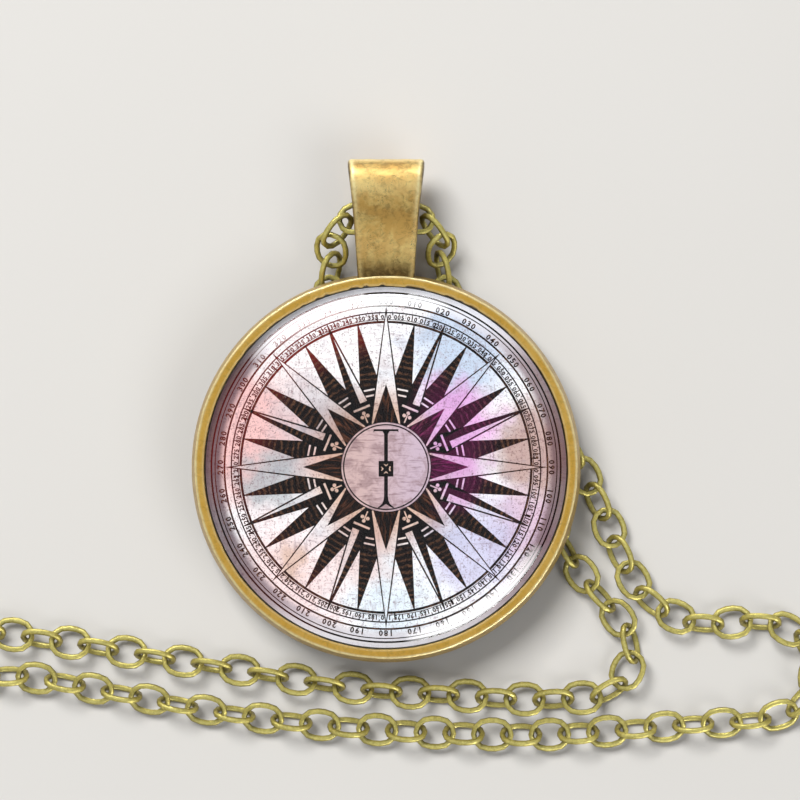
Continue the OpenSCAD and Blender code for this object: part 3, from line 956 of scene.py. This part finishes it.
def numbers_round(radius, height, step, spacing):
    """Degrees in three digits, written clockwise round the middle, a number at each step."""
    digits = digit_solids(height)
    parts = []
    for degrees in range(0, 360, step):
        for digit, place in zip(f"{degrees:03d}", (-1, 0, 1)):
            points, faces = digits[int(digit)]
            turn = math.radians(degrees) + place * spacing / radius
            out = np.array([math.sin(turn), math.cos(turn)])
            right = np.array([out[1], -out[0]])
            flat = out * radius + points[:, :1] * right + points[:, 1:2] * out
            level = ink_levels(1)[0] + (points[:, 2:] > 0) * INK_T
            parts.append((np.hstack([seen(flat) + CENTRE[:2], level]), faces))
    return parts


def add_dial(ink):
    """The rings round the rose: lines, ticks and degrees."""
    ticks = crossbar(TICK_R, 0.06, 0.16)
    long_ticks = crossbar(LONG_TICK_R, 0.09, 0.5)
    add_ink("dial_rings", [
        *[hoop(radius, width, 0) for radius, width in DIAL_LINES],
        prisms(ticks, np.arange(0, 360, 2.5), 0),
        prisms(long_ticks, np.arange(0, 360, 22.5) + 3.4, 0),
    ], ink)
    add_ink("dial_numbers", [
        *numbers_round(FIVES_R, 0.33, 5, 0.245), *numbers_round(TENS_R, 0.42, 10, 0.36),
    ], ink)


def add_disc(material):
    """The paper disc, flat on both sides with a softened edge."""
    radius, thick = (disc_high[0] - disc_low[0]) / 2, disc_high[2] - disc_low[2]
    soft = 0.03
    profile = np.concatenate([
        line((0, 0), (radius - soft, 0), 4),
        arc((radius - soft, soft), soft, -90, 0, 4),
        arc((radius - soft, thick - soft), soft, 0, 90, 4),
        line((radius - 2 * soft, thick), (0, thick), 24),
        [(0, thick)],
    ])
    points, faces = turned(profile, 192)
    points = points + (CENTRE_X, CENTRE_Y, disc_low[2])
    new_piece("printed_disc", points, faces, material, ["picture_disc"])


# Chain

LINK_R = (LINK_WID - WIRE_D) / 2
PITCH = LINK_LEN - 2 * WIRE_D - LINK_PLAY
LIE_Z = LINK_R * math.cos(math.radians(LINK_LEAN)) + WIRE_D / 2
CLASP_Z = (clasp_low[2] + clasp_high[2]) / 2
CLASP_X = (clasp_low[0] + clasp_high[0]) / 2 - CENTRE_X
END_LIFT = CLASP_Z - LIE_Z
RING_GAP = 0.2
LAY_GAP = 0.1
BAIL_CHAIN_DROP = 1.5
BAIL_SIDE_DROP = 0.2
CHAIN_LOW_Y = -22
BAIL_AT = 37


def bail_chain_place():
    """Where the chain crosses the bail: how far up, and how high it lies on the strap inside."""
    _, inner, _ = bail_loops()
    chain_y = BAIL_TOP_Y - BAIL_R - BAIL_CHAIN_DROP
    low_y = chain_y - LINK_R * math.sin(math.radians(LINK_LEAN + LEAN_DRIFT)) - WIRE_D / 2
    run_y, run_z = inner[:BAIL_RUN_STEPS].T
    return chain_y, BAIL_Z + np.interp(low_y, run_y, run_z) + LAY_GAP


def clasp_span():
    """From the joint at the clasp's lower end to the joint at its upper end."""
    reach = (LINK_LEN - WIRE_D - PITCH) / 2
    hold = (WIRE_D + RING_WIRE) / 2 + RING_GAP
    ring_end = hook_ring_high[1] - CENTRE_Y - RING_WIRE / 2
    return ring_end - hold + reach - CHAIN_LOW_Y


def route_points():
    """The chain's route from the clasp's lower end, through the bail, to the clasp's upper end: places
    in millimetres from the pendant's middle, and the lift off the lying height."""
    y, lift = bail_chain_place()
    side = lift - BAIL_SIDE_DROP
    return np.array([
        (CLASP_X, CHAIN_LOW_Y, END_LIFT),
        (-112.5, -33, 0), (-104.5, -45, 0), (-91.7, -53.6, 0), (-76, -55.2, 0), (-61, -49, 0),
        (-50.5, -39.5, 0), (-43.5, -29, 0), (-38.5, -20.8, 0), (-33, -16, 0), (-27, -14.6, 0),
        (-20, -15.6, 0), (-12, -17.1, 0), (-4, -18.1, 0), (4, -18.6, 0), (12, -18.7, 0), (19, -18.2, 0),
        (23, -17.9, 0), (26.2, -17.7, 0), (28.9, -16.8, 0), (30.2, -14.2, 0), (28.9, -11.6, 0),
        (26.2, -10.7, 0), (23.2, -11, 0), (20.5, -10.6, 0), (18.2, -9.1, 0), (16.6, -6.5, 0),
        (15.4, -3.5, 0), (13.9, -0.4, 0), (12, 2.6, 0), (9.6, 5.2, 0), (6.9, 7.8, 0),
        (4.9, y - 7.1, 0), (4.15, y - 4.6, 0), (3.85, y - 2.6, 0.85), (3.7, y - 1.2, 2.25),
        (2.5, y, side), (0, y, lift), (-2.5, y, side), (-3.75, y - 1.2, 2.25),
        (-3.8, y - 2.6, 1.1), (-4, y - 4.6, 0), (-4, y - 6.9, 0), (-3.3, 8.1, 0), (-1.6, 5.3, 0),
        (1.5, 3.2, 0), (5.6, 2, 0), (9, -0.3, 0), (11.3, -3.2, 0), (12.8, -6, 0), (14.4, -8.4, 0),
        (16, -10.1, 0), (17.2, -12, 0), (17.2, -14.2, 0), (15.6, -15.8, 0), (12.2, -16.2, 0), (4, -15.9, 0),
        (-2, -15.5, 0), (-9, -14.4, 0), (-16, -13.3, 0), (-22, -12.3, 0), (-27, -11.6, 0), (-33, -10.4, 0),
        (-38.5, -6.5, 0), (-43.5, 1.5, 0), (-50.5, 11, 0), (-61, 20.5, 0), (-75, 26.2, 0),
        (-90.7, 24.2, 0), (-103.5, 15, 0), (-112, 3.5, 0),
        (CLASP_X, CHAIN_LOW_Y + clasp_span(), END_LIFT),
    ])


def smooth_route(route):
    """A Hermite curve through the route's points: each heading weighs the two steps beside it by length."""
    step = np.diff(route, axis=0)
    length = np.linalg.norm(step, axis=1, keepdims=True)
    unit = step / length
    heading = np.tile([0.0, -1.0, 0.0], (len(route), 1))
    heading[1:-1] = (unit[:-1] * length[1:] + unit[1:] * length[:-1]) / (length[1:] + length[:-1])
    t = (np.arange(SPAN_STEPS) / SPAN_STEPS)[None, :, None]
    a, b = route[:-1, None], route[1:, None]
    leave, arrive = heading[:-1, None] * length[:, None], heading[1:, None] * length[:, None]
    fine = a * (1 - 3 * t ** 2 + 2 * t ** 3) + leave * (t - 2 * t ** 2 + t ** 3)
    fine = fine + b * (3 * t ** 2 - 2 * t ** 3) + arrive * (t ** 3 - t ** 2)
    fine = np.vstack([fine.reshape(-1, 3), route[-1]])
    fine[:, 2] = np.maximum(fine[:, 2], 0) + LIE_Z
    return fine


def share_at(number):
    """How much of the pitch lies before a joint: half before the first, and less beside the bail."""
    return 0.5 if number == 0 else SLACK if SLACK_FROM <= number <= SLACK_TO else 1


def hops(fine, pitch):
    """Points on a line, each its share of the pitch straight from the last."""
    found, here, at = [], fine[0], 0
    while True:
        reach = pitch * share_at(len(found))
        far = np.nonzero(np.linalg.norm(fine[at + 1:] - here, axis=1) >= reach)[0]
        if not len(far):
            return np.array(found)
        at += int(far[0])
        step, back = fine[at + 1] - fine[at], fine[at] - here
        p, q, r = step @ step, step @ back, back @ back - reach ** 2
        here = fine[at] + step * (math.sqrt(max(0, q * q - p * r)) - q) / p
        found.append(here)


def joints_along(fine):
    """An even number of joints from the bail to the clasp, with the pitch fitted to end there."""
    lost = 0.5 + (SLACK_TO - SLACK_FROM + 1) * (1 - SLACK)
    plain = hops(fine, PITCH)
    count = 2 * math.ceil((len(plain) + 1) / 2)
    length = (len(plain) - lost) * PITCH + np.linalg.norm(fine[-1] - plain[-1])
    fitted = hops(np.vstack([fine, fine[-1] + unit(fine[-1] - fine[-2])]), length / (count - lost))
    return np.vstack([fitted[:count - 1], fine[-1]])


def link_shape():
    """One link of round wire along X: a circle carried along two half rings and the straight sides."""
    side = (LINK_LEN - LINK_WID) / 2
    half = np.linspace(-math.pi / 2, math.pi / 2, LINK_END_STEPS + 1)
    turn = np.concatenate([half, half + math.pi])
    shift = np.repeat([side, -side], len(half))
    out = np.column_stack([np.cos(turn), np.sin(turn)])
    middle = out * LINK_R + np.column_stack([shift, np.zeros(len(turn))])
    around_wire = (np.arange(WIRE_SIDES) + 0.5) * 2 * math.pi / WIRE_SIDES
    flat = middle[:, None] + out[:, None] * (WIRE_D / 2 * np.cos(around_wire))[:, None]
    height = np.broadcast_to(WIRE_D / 2 * np.sin(around_wire), flat.shape[:2])
    points = np.concatenate([flat, height[..., None]], -1).reshape(-1, 3)
    # How far each point faces into a link's end, where the painted shade goes.
    inside = (np.clip(-np.cos(around_wire), 0, 1)[None, :] * np.abs(out[:, :1])).ravel()
    facing = (points - np.repeat(np.column_stack([middle, 0 * turn]), WIRE_SIDES, axis=0)) / (WIRE_D / 2)
    return points, [grid_quads(len(turn), WIRE_SIDES, True, True)], inside, facing


def add_chain(material):
    """Every link is the same shape, set between two joints, with its own lean about the chain's run. The
    wire has a painted highlight where it faces up, and painted shade beside that and inside the links'
    ends."""
    fine = smooth_route(route_points())
    lower = joints_along(fine[:BAIL_AT * SPAN_STEPS + 1][::-1])
    upper = joints_along(fine[BAIL_AT * SPAN_STEPS:])
    joints = np.vstack([lower[::-1], upper])
    along = unit(np.diff(joints, axis=0))
    level = unit(np.column_stack([-along[:, 1], along[:, 0], np.zeros(len(along))]))
    above = np.cross(along, level)
    number = np.arange(len(along))
    drift = LEAN_DRIFT * (1 + np.sin(np.radians(LEAN_TURN * number + LEAN_START))) / 2
    lean = np.radians(LINK_LEAN + drift + 90 * ((number + len(lower)) % 2))[:, None]
    across = level * np.cos(lean) + above * np.sin(lean)
    turns = np.stack([along, across, np.cross(along, across)], 1)
    shape, faces, inside, facing = link_shape()
    points = shape @ turns + ((joints[:-1] + joints[1:]) / 2)[:, None]
    start = (number * len(shape))[:, None, None]
    faces = [(f + start).reshape(-1, f.shape[1]) for f in faces]
    up = (facing @ turns)[..., 2]
    # Painted highlight on the wire's upward side; painted shade on its sides and inside the links' ends
    # where they meet.
    marks = {
        "wear_and_glint": 0.9 * np.clip(up, 0, 1) ** 2,
        "shade": np.clip(0.8 * inside + 0.65 * np.clip(0.7 - up, 0, 1), 0, 1),
    }
    points = points.reshape(-1, 3) + CENTRE
    faces = outward(points, faces)
    new_piece("cable_chain", points, faces, material, ["chain"], marks)


def leaning(points, degrees):
    """Points turned about the clasp row's own line, which runs along Y."""
    turn = math.radians(degrees)
    x, y, z = points[:, 1], points[:, 0], points[:, 2]
    c, s = math.cos(turn), math.sin(turn)
    return np.column_stack([-x * c + z * s, y, x * s + z * c])


def even_wear(points, wear_and_glint):
    """Marks for a piece that wears alike all over."""
    return {"wear_and_glint": np.full(len(points), wear_and_glint), "shade": np.full(len(points), 0.1)}


def add_ring(name, node, low, high, material):
    """A jump ring that leans until it touches the floor."""
    middle_r = (high[1] - low[1] - RING_WIRE) / 2
    lean = math.degrees(math.asin((CLASP_Z - RING_WIRE / 2) / middle_r))
    points, faces = ring_of_wire(middle_r, RING_WIRE / 2, 72, 20)
    points = leaning(points, lean) + (low + high) / 2 * (1, 1, 0) + (0, 0, CLASP_Z)
    faces = outward(points, faces)
    new_piece(name, points, faces, material, [node], even_wear(points, 0.3))


def add_clasp(material):
    """The clasp's body as a flat strap round its opening, and its eye as a ring of wire."""
    length = clasp_high[1] - clasp_low[1]
    wide_r = (clasp_high[0] - clasp_low[0]) / 2
    thick = clasp_high[2] - clasp_low[2]
    nose_r = NOSE_SHARE * wide_r
    wide_x = CLASP_EYE_D - RING_WIRE / 2 + wide_r
    nose_x = length - nose_r
    counts = (16, 40, 32)
    outer = -belt(-wide_x, wide_r, -nose_x, nose_r, counts)
    inner = -belt(-wide_x - CLASP_BAR, wide_r - CLASP_BAR, -nose_x, nose_r - CLASP_BAR, counts)
    section = section_round(CLASP_ROUND, CLASP_INNER_ROUND, 6, 4, 6)
    across, plane, _ = strap(outer, inner, np.full(len(outer), thick / 2), section)
    body = np.stack([plane[..., 0], plane[..., 1], across], -1).reshape(-1, 3)
    body_faces = outward(body, [grid_quads(len(outer), len(section[0]), True, True)])
    eye, eye_faces = ring_of_wire((CLASP_EYE_D - RING_WIRE) / 2, RING_WIRE / 2, 48, 16)
    points, faces = gather([(body, body_faces), (eye + (CLASP_EYE_D / 2, 0, 0), eye_faces)])
    points = leaning(points, 0) + ((clasp_low[0] + clasp_high[0]) / 2, clasp_low[1], CLASP_Z)
    faces = outward(points, faces)
    new_piece("lobster_clasp", points, faces, material, ["clasp"], even_wear(points, 0.35))


# Floor, light and camera


def add_floor():
    """A pale floor with faint clouds."""
    material, tree, shader, coordinates = new_material("pale_floor")
    color = mixed(tree, noise(tree, coordinates, 9.0, 4), rgb(204, 201, 196), rgb(211, 209, 205))
    fill(tree, shader.inputs, {"Base Color": color, "Roughness": 0.6})
    corners = FLOOR_HALF * np.array([(-1, -1, 0), (1, -1, 0), (1, 1, 0), (-1, 1, 0)])
    floor = new_mesh_object("floor", corners, [np.array([(0, 1, 2, 3)])], material)


def towards(azimuth, elevation):
    """The direction at an azimuth, measured from +X towards +Y, and an elevation, both in degrees."""
    turn, rise = math.radians(azimuth), math.radians(elevation)
    return np.array([math.cos(turn) * math.cos(rise), math.sin(turn) * math.cos(rise), math.sin(rise)])


def add_panel(name, azimuth, elevation, distance, width, height, radiance):
    """A flat softbox that faces the pendant, brightest in its middle and fading towards its edges. It shows
    only in the glass and the metal."""
    away, across = towards(azimuth, elevation), towards(azimuth + 90, 0)
    up = np.cross(away, across)
    columns, rows = 25, 13
    u, v = np.meshgrid(np.linspace(-1, 1, columns), np.linspace(-1, 1, rows))
    points = u[..., None] * across * width / 2 + v[..., None] * up * height / 2
    points = points + CENTRE * MM + away * distance
    glow = ((1 - u ** 2) * (1 - v ** 2)) ** 0.75
    material = bpy.data.materials.new(name)
    material.use_nodes = True
    tree = material.node_tree
    tree.nodes.clear()
    strength = times(tree, mark_of(tree, "glow"), radiance)
    shine = add_node(tree, "ShaderNodeEmission", None, {"Strength": strength}).outputs[0]
    add_node(tree, "ShaderNodeOutputMaterial", None, {"Surface": shine})
    faces = [grid_quads(rows, columns, False, False)]
    panel = new_mesh_object(name, points.reshape(-1, 3) / MM, faces, material, {"glow": glow})
    panel.visible_camera = False
    panel.visible_diffuse = False


def add_lamp(name, azimuth, elevation, distance, side, power):
    """A soft square lamp that lights the pendant and the floor, and stays out of the reflections."""
    light = bpy.data.lights.new(name, "AREA")
    light.size, light.energy = side, power
    lamp = new_object(name, light)
    lamp.location = CENTRE * MM + towards(azimuth, elevation) * distance
    lamp.rotation_euler = (math.radians(90 - elevation), 0, math.radians(azimuth + 90))
    lamp.visible_glossy = False
    lamp.visible_transmission = False


def add_studio():
    """An even pale sky, two lamps, and two panels for the glints."""
    world = bpy.data.worlds.new("studio")
    world.use_nodes = True
    sky = world.node_tree.nodes["Background"].inputs
    fill(world.node_tree, sky, {"Color": rgb(240, 242, 246), "Strength": 0.24})
    bpy.context.scene.world = world
    add_lamp("key_lamp", 125, 60, 0.60, 0.25, 3.8)
    add_lamp("fill_lamp", -40, 50, 0.80, 0.40, 1.7)
    add_panel("top_left_panel", 105, 13, 0.55, 0.80, 0.10, 18)
    add_panel("low_right_panel", -55, 12.5, 0.55, 0.60, 0.09, 20)
    view = bpy.context.scene.view_settings
    view.view_transform = "Standard"
    view.look = "None"


def add_camera():
    """A long lens over the pendant, with the pendant where the photograph has it."""
    middle = PHOTO_SIDE / 2
    right, down = middle - PENDANT_PIXEL[0], middle - PENDANT_PIXEL[1]
    aim = CENTRE + (right / PHOTO_SCALE, -down / PHOTO_SCALE, BACK_Z + TRAY_H)
    distance = PHOTO_SIDE / PHOTO_SCALE * LENS / SENSOR
    tilt = math.radians(CAMERA_ELEVATION)
    data = bpy.data.cameras.new("camera")
    data.lens, data.sensor_width, data.clip_start = LENS, SENSOR, 0.01
    camera = new_object("camera", data)
    camera.location = (aim + distance * np.array([0, -math.cos(tilt), math.sin(tilt)])) * MM
    camera.rotation_euler = (math.pi / 2 - tilt, 0, 0)
    bpy.context.scene.camera = camera


def build():
    """Every material and piece, then the floor, the lights and the camera."""
    patina, washes = patina_group(), washes_group()
    # Each metal's colours: pale for edge wear and painted highlights, bright, body, and dark for tarnish,
    # pits and painted shade.
    bail_colors = (rgb(255, 240, 178), rgb(255, 224, 140), rgb(228, 182, 98), rgb(84, 66, 34))
    tray_colors = (rgb(255, 244, 190), rgb(246, 206, 116), rgb(226, 178, 76), rgb(62, 66, 52))
    wire_colors = (rgb(255, 246, 158), rgb(230, 212, 108), rgb(178, 160, 60), rgb(46, 37, 10))
    bail_bronze = aged_metal("bail_bronze", patina, bail_colors, 0.9, 1.0, 0.8, 0.6)
    tray_bronze = aged_metal("tray_bronze", patina, tray_colors, 0.3, 1.2, 0.35, 0.4)
    wire_brass = aged_metal("wire_brass", patina, wire_colors, 0.4, 2.0, 0.6, 0.4)
    add_tray(tray_bronze)
    add_bail(bail_bronze)
    add_glass(glass_material())
    add_disc(printed("tinted_paper", washes, paint_paper))
    paints = (
        ("dark_ink", paint_ink), ("light_points", paint_light),
        ("brown_ink", paint_brown), ("hub_paper", paint_hub),
    )
    ink, light, brown, hub = (printed(name, washes, paint) for name, paint in paints)
    add_rose(ink, light, brown, hub)
    add_dial(ink)
    add_chain(wire_brass)
    add_ring("end_ring", "chain_ring", chain_ring_low, chain_ring_high, wire_brass)
    add_ring("clasp_ring", "hook_ring", hook_ring_low, hook_ring_high, wire_brass)
    add_clasp(wire_brass)
    add_floor()
    add_studio()
    add_camera()


build()
